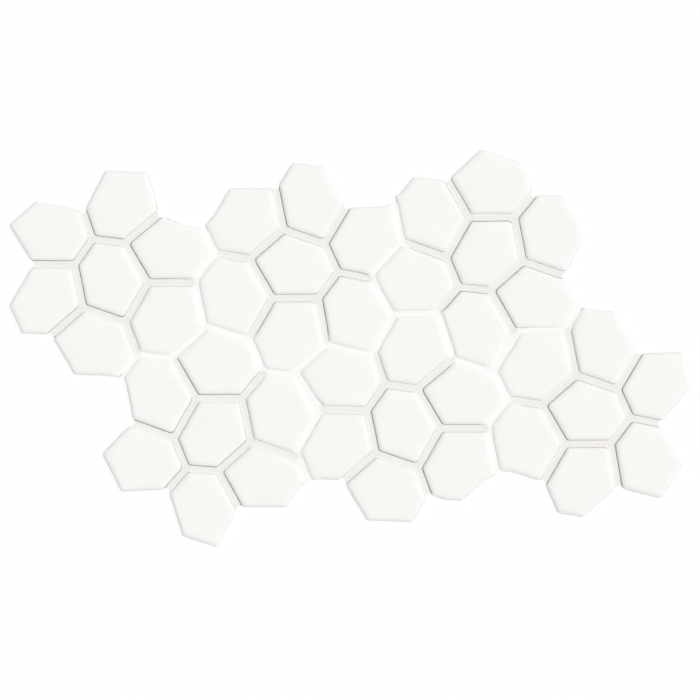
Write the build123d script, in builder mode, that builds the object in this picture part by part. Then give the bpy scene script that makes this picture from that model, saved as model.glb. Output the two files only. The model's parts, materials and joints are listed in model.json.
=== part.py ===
from build123d import *
import os
from math import hypot, sqrt

# Interlocking relief porcelain tile, in millimetres.
# X runs along the rows of cells, Y up the face, Z out of the glazed face.
# The origin is at the centre of the back.

# Driving sizes
GROUP_PITCH = 183.0
JOINT_WIDTH = 7.6
TILE_THICKNESS = 9.5
RELIEF_DEPTH = 3.0
CORNER_RADIUS = 4.5
FLANK_WIDTH = 2.8
FLANK_DROP = 3.3
FLOOR_SETBACK = 1.0
KEY_DEPTH = 0.8
KEY_MARGIN = 7.0

# Two rows of three groups, each row set half a pitch along from the other
COLUMNS = 3
ROWS = 2
ROW_RISE = GROUP_PITCH * sqrt(3) / 2
TURN_STEP = 120

# Centrelines of the joints of one group, as fractions of the pitch, clockwise from the top.
# INNER: corners round the middle cell. ENDS: where the joints between outer cells reach the rim.
# RIM: the free corners of each outer cell.
INNER = [(-0.070, 0.211), (0.099, 0.179), (0.209, -0.038), (0.077, -0.239), (-0.142, -0.148), (-0.174, 0.080)]
ENDS = [(-0.117, 0.381), (0.303, 0.328), (0.459, -0.053), (0.129, -0.408), (-0.338, -0.298), (-0.417, 0.098)]
RIM = [
    [(0.006, 0.589), (0.256, 0.562), (0.296, 0.387)],
    [(0.531, 0.232), (0.574, 0.083)],
    [(0.499, -0.300), (0.301, -0.448), (0.203, -0.436)],
    [(0.038, -0.545), (-0.224, -0.521)],
    [(-0.492, -0.284), (-0.556, -0.112)],
    [(-0.536, 0.316), (-0.363, 0.449)],
]
SIDES = len(INNER)


def scaled(points):
    """Network points brought to size."""
    return [(x * GROUP_PITCH, y * GROUP_PITCH) for x, y in points]


def inset(points, amount):
    """Corners of a clockwise convex outline moved inward by amount."""
    lines = []
    for (x0, y0), (x1, y1) in zip(points, points[1:] + points[:1]):
        length = hypot(x1 - x0, y1 - y0)
        nx = (y1 - y0) / length
        ny = (x0 - x1) / length
        lines.append((nx, ny, nx * x0 + ny * y0 + amount))
    corners = []
    for (a, b, c), (d, e, f) in zip(lines[-1:] + lines[:-1], lines):
        turn = a * e - b * d
        corners.append(((c * e - b * f) / turn, (a * f - c * d) / turn))
    return corners


# Cells of one group: the middle one, then the six round it
cells = [scaled(INNER)]
for k in range(SIDES):
    after = (k + 1) % SIDES
    cells.append(scaled([INNER[k], ENDS[k]] + RIM[k] + [ENDS[after], INNER[after]]))

# Outline of one group along its joint ends and rim corners
outline = []
for k in range(SIDES):
    outline += scaled([ENDS[k]] + RIM[k])

# Where each group stands and how it is turned
places = []
for row in range(ROWS):
    for column in range(COLUMNS):
        x = (column + row / 2) * GROUP_PITCH
        y = -row * ROW_RISE
        places.append(Location((x, y), -TURN_STEP * (column - row)))

# The cells of one group, full height, with round corners.
# The mould's draft leaves sloping flanks, which start just under the joint floor.
cell_solids = []
for points in cells:
    with BuildPart() as cell:
        with BuildSketch():
            Polygon(*inset(points, JOINT_WIDTH / 2), align=None)
            fillet(vertices(), CORNER_RADIUS)
        extrude(amount=TILE_THICKNESS)
        top = faces().sort_by(Axis.Z)[-1]
        chamfer(top.edges(), length=FLANK_WIDTH, length2=FLANK_DROP, reference=top)
    cell_solids.append(cell.part)

# Key recess in the back of each cell, which the adhesive fills
key_faces = []
for points in cells:
    with BuildSketch() as key:
        Polygon(*inset(points, JOINT_WIDTH / 2 + KEY_MARGIN), align=None)
    key_faces.append(key.sketch)

# Plan of one group's joint floor, set back a little behind the faces of the cells
floor_plan = inset(outline, JOINT_WIDTH / 2 + FLOOR_SETBACK)

# The groups round the edge of the tile, in order, and the corners of each
ring = places[:COLUMNS] + places[:COLUMNS - 1:-1]
ring_corners = [[(place * Pos(x, y)).position for x, y in floor_plan] for place in ring]
centre = sum([place.position for place in ring], Vector()) / len(ring)


def seam_end(first, second):
    """Middle of the outermost pair of corners that face each other across a seam."""
    pairs = sorted(((p - q).length, p, q) for p in first for q in second)
    facing = [pair for pair in pairs if pair[0] < 2 * JOINT_WIDTH] or pairs[:1]
    return max(((p + q) / 2 for _, p, q in facing), key=lambda point: (point - centre).length)


# A star through the groups' middles and the seams' ends closes the seams
star = []
for k, place in enumerate(ring):
    star.append(place.position)
    star.append(seam_end(ring_corners[k], ring_corners[(k + 1) % len(ring)]))

with BuildPart() as slab:
    with BuildSketch():
        for place in places:
            with Locations(place):
                Polygon(*floor_plan, align=None)
        Polygon(*[(point.X, point.Y) for point in star], align=None)
    extrude(amount=TILE_THICKNESS - RELIEF_DEPTH)

# All the cells stand on the one floor
raised = []
for place in places:
    raised += [solid.moved(place) for solid in cell_solids]
box = Compound(raised).bounding_box()
middle = Location((-box.center().X, -box.center().Y, 0))

with BuildPart() as tile:
    add(slab.part.moved(middle))
    add([solid.moved(middle) for solid in raised])
    with BuildSketch():
        for place in places:
            add([face.moved(middle * place) for face in key_faces])
    extrude(amount=KEY_DEPTH, mode=Mode.SUBTRACT)

tile.part.label = "tile"
os.makedirs("parts", exist_ok=True)
export_step(tile.part, "parts/tile.step")
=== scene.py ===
"""Looks of an interlocking relief porcelain tile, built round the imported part's frame.

The glazed cells, the sanded joints between them and the bare back are one fired piece,
so they are modelled on the bench from the part's own section and joined into one mesh.
"""

import json
import logging
import math
from contextlib import contextmanager
from dataclasses import dataclass, field
from enum import Enum, IntEnum
from typing import Callable, Iterator

import bpy
import numpy as np
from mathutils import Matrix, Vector

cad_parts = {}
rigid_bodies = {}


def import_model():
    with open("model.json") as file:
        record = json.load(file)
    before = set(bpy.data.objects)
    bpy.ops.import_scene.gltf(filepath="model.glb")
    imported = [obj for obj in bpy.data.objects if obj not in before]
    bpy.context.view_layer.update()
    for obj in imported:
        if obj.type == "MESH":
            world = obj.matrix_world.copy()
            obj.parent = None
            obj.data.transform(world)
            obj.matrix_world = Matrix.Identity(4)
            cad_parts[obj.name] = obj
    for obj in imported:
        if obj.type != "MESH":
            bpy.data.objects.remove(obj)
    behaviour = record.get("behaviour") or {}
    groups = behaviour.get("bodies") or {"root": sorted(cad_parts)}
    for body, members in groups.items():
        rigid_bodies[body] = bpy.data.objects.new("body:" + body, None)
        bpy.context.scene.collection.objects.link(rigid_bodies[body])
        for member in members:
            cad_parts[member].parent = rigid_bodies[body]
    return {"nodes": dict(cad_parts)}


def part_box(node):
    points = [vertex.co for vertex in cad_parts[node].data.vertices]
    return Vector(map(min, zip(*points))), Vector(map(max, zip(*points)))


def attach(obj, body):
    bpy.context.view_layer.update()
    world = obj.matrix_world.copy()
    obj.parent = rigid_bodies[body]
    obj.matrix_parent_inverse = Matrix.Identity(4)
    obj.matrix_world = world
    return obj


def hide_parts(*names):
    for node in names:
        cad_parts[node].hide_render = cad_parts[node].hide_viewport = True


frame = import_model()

LOG = logging.getLogger("porcelain_tile")
MM = 0.001
CLOSE = 0.001 * MM
NODE = "tile"

Colour = tuple[float, float, float]


class Zone(IntEnum):
    """Finish of a face, which is also its place in the piece's list of materials."""

    GLAZE = 0
    JOINT = 1
    CREVICE = 2
    BISQUE = 3


class Pick(Enum):
    """Kind of mesh element that a bench step selects."""

    VERT = (True, False, False)
    EDGE = (False, True, False)
    FACE = (False, False, True)


class Axis(Enum):
    """Direction in which a noise pushes the points of a mesh."""

    X = "X"
    Y = "Y"
    Z = "Z"


class Join(Enum):
    """Ways of putting two closed meshes together."""

    UNION = "UNION"
    INTERSECT = "INTERSECT"
    DIFFERENCE = "DIFFERENCE"


class Bench:
    """Modelling steps that the pieces share."""

    @staticmethod
    def only(piece: bpy.types.Object) -> None:
        """Select one piece and nothing else."""
        bpy.ops.object.select_all(action="DESELECT")
        piece.select_set(True)
        bpy.context.view_layer.objects.active = piece

    @staticmethod
    @contextmanager
    def editing(piece: bpy.types.Object, pick: Pick = Pick.FACE) -> Iterator[None]:
        """Edit one piece's mesh for the length of a with block.

        Args:
            piece: The mesh object to edit.
            pick: The kind of element that the selection holds.
        """
        Bench.only(piece)
        bpy.context.tool_settings.mesh_select_mode = pick.value
        bpy.ops.object.mode_set(mode="EDIT")
        yield
        bpy.ops.object.mode_set(mode="OBJECT")

    @staticmethod
    def mark_edges(piece: bpy.types.Object, wanted: Callable[[bpy.types.MeshEdge], bool]) -> None:
        """Select the edges that a test wants, and nothing else.

        Args:
            piece: The mesh object whose edges are tested.
            wanted: The test.
        """
        mesh = piece.data
        chosen = [wanted(edge) for edge in mesh.edges]
        mesh.polygons.foreach_set("select", [False] * len(mesh.polygons))
        mesh.vertices.foreach_set("select", [False] * len(mesh.vertices))
        mesh.edges.foreach_set("select", chosen)
        for edge, hit in zip(mesh.edges, chosen):
            if hit:
                for index in edge.vertices:
                    mesh.vertices[index].select = True

    @staticmethod
    def mark_faces(piece: bpy.types.Object, wanted: Callable[[bpy.types.MeshPolygon], bool]) -> None:
        """Select the faces that a test wants, and nothing else.

        Args:
            piece: The mesh object whose faces are tested.
            wanted: The test.
        """
        mesh = piece.data
        chosen = [wanted(face) for face in mesh.polygons]
        mesh.vertices.foreach_set("select", [False] * len(mesh.vertices))
        mesh.edges.foreach_set("select", [False] * len(mesh.edges))
        mesh.polygons.foreach_set("select", chosen)

    @staticmethod
    def copy_of_node(name: str) -> bpy.types.Object:
        """Copy the part's solid as a closed mesh of its own.

        Args:
            name: Name of the copy.

        Returns:
            The copy, with its loose triangles merged.
        """
        Bench.only(frame["nodes"][NODE])
        bpy.ops.object.duplicate()
        copy = bpy.context.view_layer.objects.active
        copy.name = name
        copy.parent = None
        for key in list(copy.keys()):
            del copy[key]
        copy.data.materials.clear()
        bpy.ops.mesh.customdata_custom_splitnormals_clear()
        with Bench.editing(copy, Pick.VERT):
            bpy.ops.mesh.select_all(action="SELECT")
            bpy.ops.mesh.remove_doubles(threshold=CLOSE)
        return copy

    @staticmethod
    def finish_modifier(piece: bpy.types.Object, modifier: bpy.types.Modifier) -> None:
        """Apply a modifier that has been set up."""
        Bench.only(piece)
        bpy.ops.object.modifier_apply(modifier=modifier.name)

    @staticmethod
    def push(piece: bpy.types.Object, noise: bpy.types.Texture, axis: Axis, amount: float, group: str = "") -> None:
        """Push the points of a mesh to and fro by a noise.

        Args:
            piece: The mesh object to push.
            noise: The noise, read at each point's place.
            axis: Direction of the push.
            amount: Full travel from the lowest noise to the highest.
            group: Vertex group to keep to, or nothing for the whole mesh.
        """
        modifier = piece.modifiers.new("push", "DISPLACE")
        modifier.texture = noise
        modifier.texture_coords = "LOCAL"
        modifier.direction = axis.value
        modifier.strength = amount
        modifier.mid_level = 0.5
        modifier.vertex_group = group
        Bench.finish_modifier(piece, modifier)

    @staticmethod
    def clouds(name: str, size: float, depth: int) -> bpy.types.Texture:
        """Make a cloud noise.

        Args:
            name: Name of the noise.
            size: Size of its swells, in metres.
            depth: Number of finer layers in it.

        Returns:
            The noise texture.
        """
        noise = bpy.data.textures.new(name, "CLOUDS")
        noise.noise_scale = size
        noise.noise_depth = depth
        noise.noise_basis = "ORIGINAL_PERLIN"
        return noise

    @staticmethod
    def joined(pieces: list[bpy.types.Object], name: str) -> bpy.types.Object:
        """Join pieces into the first of them.

        Args:
            pieces: The mesh objects.
            name: Name of the whole.

        Returns:
            The first object, which holds them all.
        """
        bpy.ops.object.select_all(action="DESELECT")
        for piece in pieces:
            piece.select_set(True)
        bpy.context.view_layer.objects.active = pieces[0]
        bpy.ops.object.join()
        pieces[0].name = name
        return pieces[0]

    @staticmethod
    def put_together(piece: bpy.types.Object, other: bpy.types.Object, how: Join) -> None:
        """Join a second closed mesh to the first, and remove the second.

        Args:
            piece: The mesh object that is kept.
            other: The mesh object that goes into it.
            how: What is kept of the two.
        """
        modifier = piece.modifiers.new("join", "BOOLEAN")
        modifier.operation = how.value
        modifier.solver = "MANIFOLD"
        modifier.object = other
        Bench.finish_modifier(piece, modifier)
        bpy.data.objects.remove(other)

    @staticmethod
    def drop_crumbs(piece: bpy.types.Object) -> None:
        """Delete the crumbs that the cuts leave apart from the whole.

        Args:
            piece: The mesh object, whose lowest faces belong to the whole.
        """
        low = min(point.co.z for point in piece.data.vertices)
        Bench.mark_faces(piece, lambda face: face.center.z < low + CLOSE)
        with Bench.editing(piece):
            bpy.ops.mesh.select_linked()
            bpy.ops.mesh.select_all(action="INVERT")
            bpy.ops.mesh.delete(type="VERT")


@dataclass
class Groups:
    """Where the middles of the seven-cell groups lie, in two rows half a pitch apart."""

    pitch: float = 183.0 * MM
    first: tuple[float, float] = (-230.2 * MM, 81.9 * MM)
    columns: int = 3
    rows: int = 2

    def middles(self) -> np.ndarray:
        """List the middles of the groups.

        Returns:
            An array of x and y, one row for each group.
        """
        rise = self.pitch * math.sqrt(3) / 2
        return np.array([
            (self.first[0] + (column + row / 2) * self.pitch, self.first[1] - row * rise)
            for row in range(self.rows)
            for column in range(self.columns)
        ])

    def of(self, points: np.ndarray) -> np.ndarray:
        """Tell which group each point is nearest to.

        Args:
            points: An array of x and y.

        Returns:
            The number of each point's group.
        """
        gaps = np.linalg.norm(points[:, None, :] - self.middles()[None], axis=2)
        return gaps.argmin(axis=1)


@dataclass
class Network:
    """The cells' outlines, and how far points between them lie from each."""

    outlines: list[np.ndarray]
    groups: Groups
    near: float = 18.0 * MM

    def gaps(self, points: np.ndarray) -> np.ndarray:
        """Measure from points to the outlines that are near them.

        Args:
            points: An array of x and y.

        Returns:
            One row of distances for each cell, endless where the cell is far.
        """
        rows = np.full((len(self.outlines), len(points)), np.inf)
        for row, outline in zip(rows, self.outlines):
            low, high = outline.min(axis=0) - self.near, outline.max(axis=0) + self.near
            close = np.flatnonzero(((points > low) & (points < high)).all(axis=1))
            starts = outline[None]
            runs = np.roll(outline, -1, axis=0)[None] - starts
            offsets = points[close][:, None, :] - starts
            along = np.clip((offsets * runs).sum(axis=2) / (runs * runs).sum(axis=2), 0.0, 1.0)
            row[close] = np.linalg.norm(offsets - along[:, :, None] * runs, axis=2).min(axis=1)
        return rows

    def seam_share(self, points: np.ndarray, blend: float) -> np.ndarray:
        """Tell how far points lie in a seam between groups rather than in a joint.

        Args:
            points: An array of x and y.
            blend: Width over which a joint turns into a seam.

        Returns:
            A share for each point, from 0 in a joint to 1 in a seam.
        """
        gaps = np.minimum(self.gaps(points), 1.0)
        owner = self.groups.of(np.array([outline.mean(axis=0) for outline in self.outlines]))
        nearest = owner[gaps.argmin(axis=0)]
        same = np.where(owner[:, None] == nearest[None], gaps, np.inf)
        other = np.where(owner[:, None] != nearest[None], gaps, np.inf).min(axis=0)
        return np.clip(0.5 + (np.sort(same, axis=0)[1] - other) / (2 * blend), 0.0, 1.0)

    def seam_width(self, points: np.ndarray) -> np.ndarray:
        """Measure from points on an outline to the nearest cell of another group.

        Args:
            points: An array of x and y.

        Returns:
            A distance for each point, endless where no other group is near.
        """
        gaps = self.gaps(points)
        owner = self.groups.of(np.array([outline.mean(axis=0) for outline in self.outlines]))
        return np.where(owner[:, None] != owner[gaps.argmin(axis=0)][None], gaps, np.inf).min(axis=0)


@dataclass
class Ring:
    """One step of a cell's side: how far in from its wall, and how high."""

    inset: float
    height: float


def pillow() -> list[Ring]:
    """Side of a cell from its wall over the soft edge to the faintly crowned top."""
    steps = [
        (0.0, 6.20), (0.35, 7.62), (0.7, 7.90), (1.2, 8.22), (1.8, 8.57), (2.6, 8.92), (3.6, 9.18),
        (4.7, 9.32), (5.8, 9.39), (7.7, 9.44), (11.0, 9.47), (17.0, 9.49), (26.0, 9.50),
    ]
    return [Ring(inset * MM, height * MM) for inset, height in steps]


@dataclass
class CellField:
    """The raised glazed cells, each grown from its own outline in the part."""

    section: float = 6.7 * MM
    foot: float = 1.2 * MM
    skirt: float = 0.65 * MM
    straight: float = math.radians(1.0)
    long_edge: float = 9.0 * MM
    edge_cuts: int = 3
    rings: list[Ring] = field(default_factory=pillow)
    sway: float = 0.7 * MM
    swell: float = 0.25 * MM
    crown_from: float = 9.0 * MM
    seam: float = 5.2 * MM
    seam_reach: float = 2.6 * MM
    seam_end: float = 15.0 * MM
    # The crevice's dark bottom paints a thin shade line round each cell's foot; shift, turn and swing set the side
    # where that painted shade is widest.
    crevice: float = 0.39 * MM
    crevice_shift: float = 0.43 * MM
    crevice_turn: float = math.radians(11)
    crevice_swing: tuple[float, float] = (math.radians(-215), math.radians(-310))
    crevice_floor: float = 5.6 * MM
    crevice_rise: float = 2.4 * MM
    seam_blend: float = 3.0 * MM
    outlines: list[np.ndarray] = field(default_factory=list)

    def cut_outlines(self) -> list[bpy.types.Object]:
        """Cut the part just over its joint floor and part the cells' outlines.

        Returns:
            One flat mesh object for each cell.
        """
        sheet = Bench.copy_of_node("cell")
        with Bench.editing(sheet, Pick.EDGE):
            bpy.ops.mesh.select_all(action="SELECT")
            bpy.ops.mesh.bisect(
                plane_co=(0, 0, self.section), plane_no=(0, 0, 1),
                use_fill=False, clear_inner=True, clear_outer=True, threshold=CLOSE,
            )
            bpy.ops.mesh.select_all(action="SELECT")
            bpy.ops.mesh.separate(type="LOOSE")
        cells = list(bpy.context.selected_objects)
        for cell in cells:
            with Bench.editing(cell, Pick.EDGE):
                bpy.ops.mesh.select_all(action="SELECT")
                bpy.ops.mesh.edge_face_add()
                bpy.ops.mesh.dissolve_limited(angle_limit=self.straight)
        return sorted(cells, key=lambda cell: tuple(cell.data.polygons[0].center))

    def divide_outline(self, cell: bpy.types.Object) -> None:
        """Divide the long edges of one cell's outline and keep the outline.

        Args:
            cell: The flat outline.
        """
        corners = cell.data.vertices
        Bench.mark_edges(
            cell, lambda edge: (corners[edge.vertices[0]].co - corners[edge.vertices[1]].co).length > self.long_edge
        )
        with Bench.editing(cell, Pick.EDGE):
            bpy.ops.mesh.subdivide(number_cuts=self.edge_cuts)
        corners = cell.data.vertices
        self.outlines.append(np.array([corners[i].co.xy for i in cell.data.polygons[0].vertices]))

    def close_seam(self, cell: bpy.types.Object, network: Network) -> None:
        """Draw one cell's outline out where it faces another group, which leaves a narrow seam.

        Args:
            cell: The flat outline.
            network: The cells' outlines.
        """
        middle = cell.data.polygons[0].center.xy
        points = cell.data.vertices
        places = np.array([point.co.xy for point in points])
        width = network.seam_width(places)
        spare = np.clip((width - self.seam) / 2, 0.0, self.seam_reach)
        facing = np.clip((self.seam_end - width) / self.seam_blend, 0.0, 1.0)
        draw = spare * facing * network.seam_share(places, self.seam_blend)
        for point, amount in zip(points, draw):
            point.co.xy += (point.co.xy - middle).normalized() * float(amount)

    def raise_cell(self, cell: bpy.types.Object) -> None:
        """Grow one cell from its outline, ring by ring.

        Args:
            cell: The flat outline, which becomes a closed pillow.
        """
        face = cell.data.polygons[0]
        middle = face.center.copy()
        reach = math.sqrt(face.area / math.pi)
        with Bench.editing(cell):
            bpy.ops.mesh.select_all(action="SELECT")
            grown = 1 + self.skirt / reach
            bpy.ops.transform.resize(value=(grown, grown, 1), center_override=middle)
            bpy.ops.transform.translate(value=(0, 0, self.foot - self.section))
            last = Ring(0.0, self.foot)
            for ring in self.rings:
                bpy.ops.mesh.extrude_region_move(
                    TRANSFORM_OT_translate={"value": (0, 0, ring.height - last.height)}
                )
                drawn = (reach - ring.inset) / (reach - last.inset)
                bpy.ops.transform.resize(value=(drawn, drawn, 1), center_override=(middle.x, middle.y, ring.height))
                last = ring
            bpy.ops.mesh.poke()
            bpy.ops.mesh.select_all(action="SELECT")
            bpy.ops.mesh.normals_make_consistent(inside=False)

    def crevice_of(self, cell: bpy.types.Object, network: Network) -> bpy.types.Object:
        """Make the block that cuts the hairline crevice along one cell's foot.

        The crevice is widest on one side, which turns slowly from one end of the tile to the other; its dark bottom
        paints a shade line, thickest on that side.

        Args:
            cell: The grown cell, whose lowest ring the block follows.
            network: The cells' outlines.

        Returns:
            The block, which runs out where the joint turns into a seam.
        """
        Bench.only(cell)
        bpy.ops.object.duplicate()
        block = bpy.context.view_layer.objects.active
        points = block.data.vertices
        Bench.mark_faces(block, lambda face: any(points[i].co.z > self.foot + CLOSE for i in face.vertices))
        with Bench.editing(block):
            bpy.ops.mesh.delete(type="FACE")
        face = block.data.polygons[0]
        middle = face.center.copy()
        grown = 1 + self.crevice / math.sqrt(face.area / math.pi)
        turn = self.crevice_turn + self.crevice_swing[0] * middle.x + self.crevice_swing[1] * middle.y
        shift = (-self.crevice_shift * math.cos(turn), -self.crevice_shift * math.sin(turn))
        with Bench.editing(block):
            bpy.ops.mesh.select_all(action="SELECT")
            bpy.ops.transform.resize(value=(grown, grown, 1), center_override=middle)
            bpy.ops.transform.translate(value=(*shift, self.crevice_floor - self.foot))
        share = network.seam_share(np.array([point.co.xy for point in block.data.vertices]), self.seam_blend)
        for point, lift in zip(block.data.vertices, share):
            point.co.z += self.crevice_rise * lift
        with Bench.editing(block):
            bpy.ops.mesh.select_all(action="SELECT")
            bpy.ops.mesh.extrude_region_move(TRANSFORM_OT_translate={"value": (0, 0, self.crevice_rise)})
            bpy.ops.mesh.select_all(action="SELECT")
            bpy.ops.mesh.normals_make_consistent(inside=False)
        return block

    def sway_all(self, piece: bpy.types.Object) -> None:
        """Sway a mesh a little in the plane of the tile, as pressed clay does."""
        noise = Bench.clouds("sway", 28 * MM, 1)
        Bench.push(piece, noise, Axis.X, self.sway)
        Bench.push(piece, noise, Axis.Y, self.sway)

    def build(self, groups: Groups) -> tuple[bpy.types.Object, bpy.types.Object, Network]:
        """Grow all the cells and give them the sway and swell of pressed clay.

        Args:
            groups: Where the groups of cells lie.

        Returns:
            The cells, the block that cuts the crevices along them, and the network of their outlines.
        """
        cells = self.cut_outlines()
        for cell in cells:
            self.divide_outline(cell)
        network = Network(self.outlines, groups)
        for cell in cells:
            self.close_seam(cell, network)
            self.raise_cell(cell)
        crevices = Bench.joined([self.crevice_of(cell, network) for cell in cells], "crevices")
        whole = Bench.joined(cells, "cells")
        crown = whole.vertex_groups.new(name="crown")
        crown.add([v.index for v in whole.data.vertices if v.co.z > self.crown_from], 1.0, "REPLACE")
        self.sway_all(whole)
        self.sway_all(crevices)
        Bench.push(whole, Bench.clouds("swell", 22 * MM, 2), Axis.Z, self.swell, "crown")
        LOG.info("%d cells grown", len(self.outlines))
        return whole, crevices, network


@dataclass
class JointBed:
    """The body under the cells, whose sanded top shows in the joints."""

    cut: float = 5.9 * MM
    lift: float = 1.8 * MM
    floor: float = 6.1 * MM
    hollow: float = 0.4 * MM
    seam_lift: float = 1.1 * MM
    seam_blend: float = 3.0 * MM
    full_width: float = 7.6 * MM
    grain: float = 1.6 * MM
    rough: float = 0.08 * MM
    margin: float = 6.0 * MM

    def body(self) -> bpy.types.Object:
        """Take the part below its relief, drawn up a little past the joint floor.

        Returns:
            The body as a closed mesh object.
        """
        body = Bench.copy_of_node("body")
        with Bench.editing(body):
            bpy.ops.mesh.select_all(action="SELECT")
            bpy.ops.mesh.bisect(
                plane_co=(0, 0, self.cut), plane_no=(0, 0, 1),
                use_fill=True, clear_inner=False, clear_outer=True, threshold=CLOSE,
            )
        Bench.mark_faces(body, lambda face: face.normal.z > 0.9 and face.center.z > self.cut - 0.1 * MM)
        with Bench.editing(body):
            bpy.ops.transform.translate(value=(0, 0, self.lift))
        return body

    def hollow_joints(self, block: bpy.types.Object, network: Network) -> None:
        """Draw the floor up in the seams and towards the cells on each side, which leaves the joints hollow.

        Args:
            block: The flat grid at the height of the joint floor.
            network: The cells' outlines.
        """
        mesh = block.data
        points = np.empty(len(mesh.vertices) * 3)
        mesh.vertices.foreach_get("co", points)
        points = points.reshape(-1, 3)
        first, second = np.sort(np.minimum(network.gaps(points[:, :2]), self.full_width), axis=0)[:2]
        width = first + second
        draw = np.minimum(width / self.full_width, 1.0) * (1 - 2 * first / width) ** 2
        points[:, 2] += self.hollow * draw + self.seam_lift * network.seam_share(points[:, :2], self.seam_blend)
        mesh.vertices.foreach_set("co", points.ravel())

    def sand(self, network: Network) -> bpy.types.Object:
        """Make the block of sand-rough top that the body is cut with.

        Args:
            network: The cells' outlines.

        Returns:
            The block as a closed mesh object.
        """
        low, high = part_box(NODE)
        width = high.x - low.x + 2 * self.margin
        depth = high.y - low.y + 2 * self.margin
        bpy.ops.object.select_all(action="DESELECT")
        bpy.ops.mesh.primitive_grid_add(
            x_subdivisions=round(width / self.grain), y_subdivisions=round(depth / self.grain),
            size=1, location=(0, 0, self.floor),
        )
        block = bpy.context.view_layer.objects.active
        block.name = "sand"
        block.scale = (width, depth, 1)
        bpy.ops.object.transform_apply(location=True, rotation=True, scale=True)
        self.hollow_joints(block, network)
        Bench.push(block, Bench.clouds("sand", 3.2 * MM, 2), Axis.Z, self.rough)
        with Bench.editing(block, Pick.EDGE):
            bpy.ops.mesh.select_all(action="DESELECT")
            bpy.ops.mesh.select_non_manifold()
            bpy.ops.mesh.extrude_region_move(TRANSFORM_OT_translate={"value": (0, 0, -self.floor)})
            bpy.ops.transform.resize(value=(1, 1, 0), center_override=(0, 0, -self.margin))
            bpy.ops.mesh.edge_face_add()
            bpy.ops.mesh.select_all(action="SELECT")
            bpy.ops.mesh.normals_make_consistent(inside=False)
        return block

    def build(self, network: Network) -> bpy.types.Object:
        """Cut the body with the sand.

        Args:
            network: The cells' outlines.

        Returns:
            The body with its rough joint floor, as one mesh object.
        """
        body = self.body()
        Bench.put_together(body, self.sand(network), Join.INTERSECT)
        LOG.info("joint bed with %d faces", len(body.data.polygons))
        return body


class Wiring:
    """Nodes of one material or of the world."""

    def __init__(self, owner: bpy.types.Material | bpy.types.World) -> None:
        """Start with no nodes in a new material or world."""
        owner.use_nodes = True
        self.owner = owner
        self.tree = owner.node_tree
        self.tree.nodes.clear()

    def add(self, kind: str, **settings: object) -> bpy.types.Node:
        """Add a node.

        Args:
            kind: Blender's name for the node, without ShaderNode.
            settings: The node's own settings by name.

        Returns:
            The node.
        """
        node = self.tree.nodes.new("ShaderNode" + kind)
        for name, value in settings.items():
            setattr(node, name, value)
        return node

    def link(self, start: bpy.types.NodeSocket, end: bpy.types.NodeSocket) -> None:
        """Link two sockets."""
        self.tree.links.new(start, end)

    def shader(self, roughness: float, specular: float = 0.5) -> bpy.types.Node:
        """Add the surface shader and the output.

        Args:
            roughness: How matt the surface is.
            specular: How strongly it reflects.

        Returns:
            The shader node.
        """
        shader = self.add("BsdfPrincipled")
        shader.inputs["Roughness"].default_value = roughness
        shader.inputs["Specular IOR Level"].default_value = specular
        output = self.add("OutputMaterial")
        self.link(shader.outputs["BSDF"], output.inputs["Surface"])
        return shader

    def noise(self, size: float, detail: float, offset: Colour = (0, 0, 0)) -> bpy.types.NodeSocket:
        """Add a noise over the piece.

        Args:
            size: Size of its features, in metres.
            detail: Number of finer layers.
            offset: Shift that keeps it apart from other noises.

        Returns:
            The socket with its value.
        """
        place = self.add("TexCoord")
        shift = self.add("Mapping")
        shift.inputs["Location"].default_value = offset
        noise = self.add("TexNoise")
        noise.inputs["Scale"].default_value = 1 / size
        noise.inputs["Detail"].default_value = detail
        self.link(place.outputs["Object"], shift.inputs["Vector"])
        self.link(shift.outputs["Vector"], noise.inputs["Vector"])
        return noise.outputs["Fac"]

    def ramp(self, value: bpy.types.NodeSocket, stops: list[tuple[float, Colour]]) -> bpy.types.NodeSocket:
        """Turn a value into colours.

        Args:
            value: The socket with the value.
            stops: Places along the ramp and their colours.

        Returns:
            The socket with the colour.
        """
        ramp = self.add("ValToRGB")
        elements = ramp.color_ramp.elements
        while len(elements) < len(stops):
            elements.new(1.0)
        for element, (place, colour) in zip(elements, stops):
            element.position = place
            element.color = (*colour, 1.0)
        self.link(value, ramp.inputs["Fac"])
        return ramp.outputs["Color"]

    def mix(self, share: bpy.types.NodeSocket, first: bpy.types.NodeSocket, second: bpy.types.NodeSocket) -> bpy.types.NodeSocket:
        """Mix two colours.

        Args:
            share: The socket with the share of the second.
            first: The socket with the first colour.
            second: The socket with the second colour.

        Returns:
            The socket with the mixed colour.
        """
        mix = self.add("Mix", data_type="RGBA")
        self.link(share, mix.inputs["Factor"])
        self.link(first, mix.inputs["A"])
        self.link(second, mix.inputs["B"])
        return mix.outputs["Result"]

    def backdrop(self) -> bpy.types.NodeSocket:
        """Tell the rays that see a backdrop from those that only carry light.

        Returns:
            The socket with 1 for what the camera sees, itself, mirrored or through glass.
        """
        path = self.add("LightPath")
        seen = path.outputs["Is Camera Ray"]
        for name in ("Is Glossy Ray", "Is Transmission Ray"):
            either = self.add("Math", operation="MAXIMUM")
            self.link(seen, either.inputs[0])
            self.link(path.outputs[name], either.inputs[1])
            seen = either.outputs["Value"]
        return seen


@dataclass(frozen=True)
class GlazeFinish:
    """Satin white glaze with a faint milky mottle."""

    pale: Colour = (0.925, 0.925, 0.905)
    deep: Colour = (0.905, 0.905, 0.880)
    mottle: float = 16 * MM
    roughness: float = 0.62
    specular: float = 0.15

    def material(self) -> bpy.types.Material:
        """Make the material."""
        wiring = Wiring(bpy.data.materials.new("satin_white_glaze"))
        shader = wiring.shader(self.roughness, self.specular)
        colour = wiring.ramp(wiring.noise(self.mottle, 3.0), [(0.3, self.deep), (0.7, self.pale)])
        wiring.link(colour, shader.inputs["Base Color"])
        return wiring.owner


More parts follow.
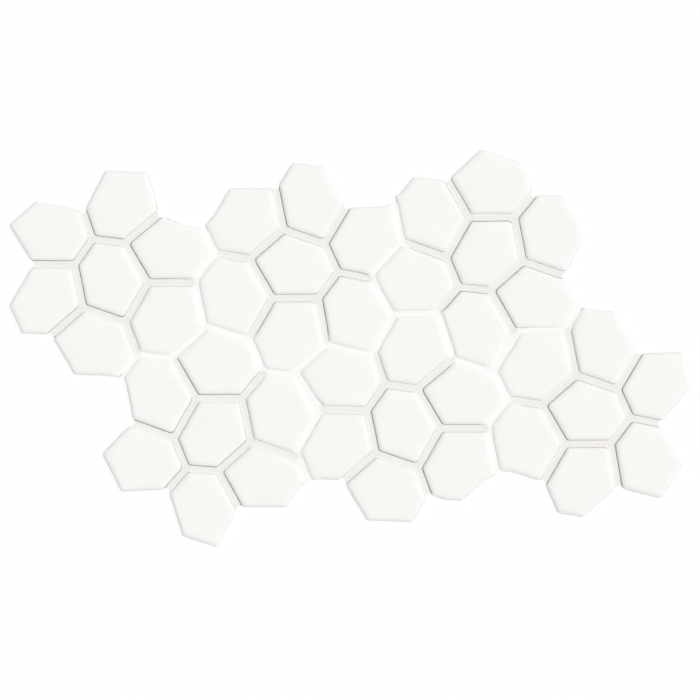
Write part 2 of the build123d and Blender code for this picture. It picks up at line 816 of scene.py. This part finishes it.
@dataclass(frozen=True)
class JointFinish:
    """Matt warm grey joint with fine sand in it, whiter in the seams between groups."""

    light: Colour = (0.855, 0.838, 0.805)
    grain: Colour = (0.815, 0.797, 0.765)
    seam: Colour = (0.935, 0.935, 0.92)
    seam_grain: Colour = (0.915, 0.912, 0.893)
    sand: float = 1.6 * MM
    roughness: float = 0.85

    def material(self) -> bpy.types.Material:
        """Make the material."""
        wiring = Wiring(bpy.data.materials.new("sanded_joint"))
        shader = wiring.shader(self.roughness, 0.3)
        speckle = wiring.ramp(wiring.noise(self.sand, 2.0), [(0.32, self.grain), (0.58, self.light)])
        white = wiring.ramp(wiring.noise(self.sand, 1.0, (0.3, 0.1, 0)), [(0.3, self.seam_grain), (0.6, self.seam)])
        share = wiring.add("Attribute", attribute_name="seam")
        wiring.link(wiring.mix(share.outputs["Fac"], speckle, white), shader.inputs["Base Color"])
        return wiring.owner


@dataclass(frozen=True)
class CreviceShadeFinish:
    """Dark bottom of the hairline crevices, which the glaze doesn't reach: its dark grey is painted shade, a thin
    shade line along each cell's foot.
    """

    # Dark greys of painted shade in the crevice bottoms.
    pale: Colour = (0.44, 0.425, 0.40)
    deep: Colour = (0.34, 0.328, 0.308)
    cloud: float = 9 * MM
    roughness: float = 0.9

    def material(self) -> bpy.types.Material:
        """Make the material."""
        wiring = Wiring(bpy.data.materials.new("crevice_painted_shade"))
        shader = wiring.shader(self.roughness, 0.2)
        colour = wiring.ramp(wiring.noise(self.cloud, 2.0), [(0.35, self.deep), (0.65, self.pale)])
        wiring.link(colour, shader.inputs["Base Color"])
        return wiring.owner


@dataclass(frozen=True)
class BisqueFinish:
    """Bare fired porcelain of the back and the lower sides."""

    pale: Colour = (0.84, 0.82, 0.78)
    deep: Colour = (0.76, 0.735, 0.69)
    cloud: float = 24 * MM
    roughness: float = 0.8

    def material(self) -> bpy.types.Material:
        """Make the material."""
        wiring = Wiring(bpy.data.materials.new("bare_porcelain"))
        shader = wiring.shader(self.roughness, 0.3)
        colour = wiring.ramp(wiring.noise(self.cloud, 4.0), [(0.35, self.deep), (0.65, self.pale)])
        wiring.link(colour, shader.inputs["Base Color"])
        return wiring.owner


@dataclass
class PorcelainTile:
    """The whole tile: the cells joined to the bed, dressed and tied to the part."""

    cells: CellField = field(default_factory=CellField)
    bed: JointBed = field(default_factory=JointBed)
    groups: Groups = field(default_factory=Groups)
    glaze_edge: float = 5.0 * MM
    crevice_top: float = 5.9 * MM
    joint_top: float = 7.8 * MM
    joint_tilt: float = 0.7
    seam_blend: float = 3.0 * MM
    crease: float = math.radians(38)

    def zone(self, face: bpy.types.MeshPolygon) -> Zone:
        """Tell which finish a face has.

        Args:
            face: A face of the joined tile.

        Returns:
            The zone that it lies in.
        """
        if face.center.z < self.glaze_edge:
            return Zone.BISQUE
        if face.center.z < self.crevice_top and face.normal.z > self.joint_tilt:
            return Zone.CREVICE
        if face.center.z < self.joint_top and face.normal.z > self.joint_tilt:
            return Zone.JOINT
        return Zone.GLAZE

    def mark_seams(self, piece: bpy.types.Object, network: Network) -> None:
        """Store at each point of the joint floor how far it lies in a seam between groups.

        Args:
            piece: The joined tile.
            network: The cells' outlines.
        """
        mesh = piece.data
        floor = sorted({i for face in mesh.polygons if face.material_index == Zone.JOINT for i in face.vertices})
        share = np.zeros(len(mesh.vertices), np.float32)
        share[floor] = network.seam_share(np.array([mesh.vertices[i].co.xy for i in floor]), self.seam_blend)
        seam = mesh.attributes.new("seam", "FLOAT", "POINT")
        seam.data.foreach_set("value", share)

    def build(self) -> bpy.types.Object:
        """Join, dress and tie the tile.

        Returns:
            The finished piece.
        """
        cells, crevices, network = self.cells.build(self.groups)
        piece = self.bed.build(network)
        Bench.put_together(piece, crevices, Join.DIFFERENCE)
        Bench.put_together(piece, cells, Join.UNION)
        Bench.drop_crumbs(piece)
        piece.name = "porcelain_tile"
        piece.data.name = "porcelain_tile"
        piece.data.materials.clear()
        for finish in (GlazeFinish(), JointFinish(), CreviceShadeFinish(), BisqueFinish()):
            piece.data.materials.append(finish.material())
        piece.data.polygons.foreach_set("material_index", [self.zone(face) for face in piece.data.polygons])
        self.mark_seams(piece, network)
        Bench.only(piece)
        bpy.ops.object.shade_smooth_by_angle(angle=self.crease)
        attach(piece, "root")
        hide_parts(NODE)
        LOG.info("%s with %d faces", piece.name, len(piece.data.polygons))
        return piece


@dataclass
class Studio:
    """White table, soft light and a camera straight over the tile."""

    table: float = 8.0
    paper: Colour = (0.92, 0.92, 0.92)
    table_white: float = 0.95
    ambient: float = 0.31
    key: float = 2.36
    key_from: tuple[float, float, float] = (0.36, 0.09, 0.929)
    key_softness: float = math.radians(8)
    lens: float = 150.0
    sensor: float = 36.0
    view_width: float = 678.1 * MM
    view_middle: tuple[float, float] = (-0.8 * MM, -2.8 * MM)
    view_turn: float = math.radians(-3.5)
    focus: float = 9.5 * MM

    def lay_table(self) -> None:
        """Lay the white table, which keeps a little of the tile's shadow."""
        bpy.ops.object.select_all(action="DESELECT")
        bpy.ops.mesh.primitive_plane_add(size=self.table, location=(0, 0, 0))
        table = bpy.context.view_layer.objects.active
        table.name = "table"
        wiring = Wiring(bpy.data.materials.new("white_table"))
        paper = wiring.add("BsdfDiffuse")
        paper.inputs["Color"].default_value = (*self.paper, 1.0)
        white = wiring.add("Emission")
        share = wiring.add("Math", operation="MULTIPLY")
        share.inputs[1].default_value = self.table_white
        wiring.link(wiring.backdrop(), share.inputs[0])
        mix = wiring.add("MixShader")
        wiring.link(share.outputs["Value"], mix.inputs["Fac"])
        wiring.link(paper.outputs["BSDF"], mix.inputs[1])
        wiring.link(white.outputs["Emission"], mix.inputs[2])
        output = wiring.add("OutputMaterial")
        wiring.link(mix.outputs["Shader"], output.inputs["Surface"])
        table.data.materials.append(wiring.owner)

    def hang_lights(self) -> None:
        """Light the tile from the upper right and softly from all round."""
        lamp = bpy.data.lights.new("key", "SUN")
        lamp.energy = self.key
        lamp.angle = self.key_softness
        key = bpy.data.objects.new("key", lamp)
        key.rotation_euler = Vector(self.key_from).to_track_quat("Z", "Y").to_euler()
        bpy.context.scene.collection.objects.link(key)
        wiring = Wiring(bpy.data.worlds.new("white_room"))
        sky = wiring.add("Background")
        sky.inputs["Color"].default_value = (1.0, 1.0, 1.0, 1.0)
        level = wiring.add("Mix")
        level.inputs["A"].default_value = self.ambient
        level.inputs["B"].default_value = 1.0
        wiring.link(wiring.backdrop(), level.inputs["Factor"])
        wiring.link(level.outputs["Result"], sky.inputs["Strength"])
        output = wiring.add("OutputWorld")
        wiring.link(sky.outputs["Background"], output.inputs["Surface"])
        bpy.context.scene.world = wiring.owner

    def set_camera(self) -> None:
        """Set the camera straight over the tile, turned as the photographer held it."""
        lens = bpy.data.cameras.new("camera")
        lens.lens = self.lens
        lens.sensor_width = self.sensor
        camera = bpy.data.objects.new("camera", lens)
        camera.location = (*self.view_middle, self.focus + self.view_width * self.lens / self.sensor)
        camera.rotation_euler = (0, 0, self.view_turn)
        bpy.context.scene.collection.objects.link(camera)
        bpy.context.scene.camera = camera
        bpy.context.scene.view_settings.view_transform = "Standard"

    def build(self) -> None:
        """Set up the whole studio."""
        self.lay_table()
        self.hang_lights()
        self.set_camera()


def main() -> None:
    """Build the tile and the studio."""
    logging.basicConfig(level=logging.INFO, format="%(name)s: %(message)s")
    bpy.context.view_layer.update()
    piece = PorcelainTile().build()
    LOG.info("built %s", piece.name)
    Studio().build()
    LOG.info("studio set")


if __name__ == "__main__":
    main()
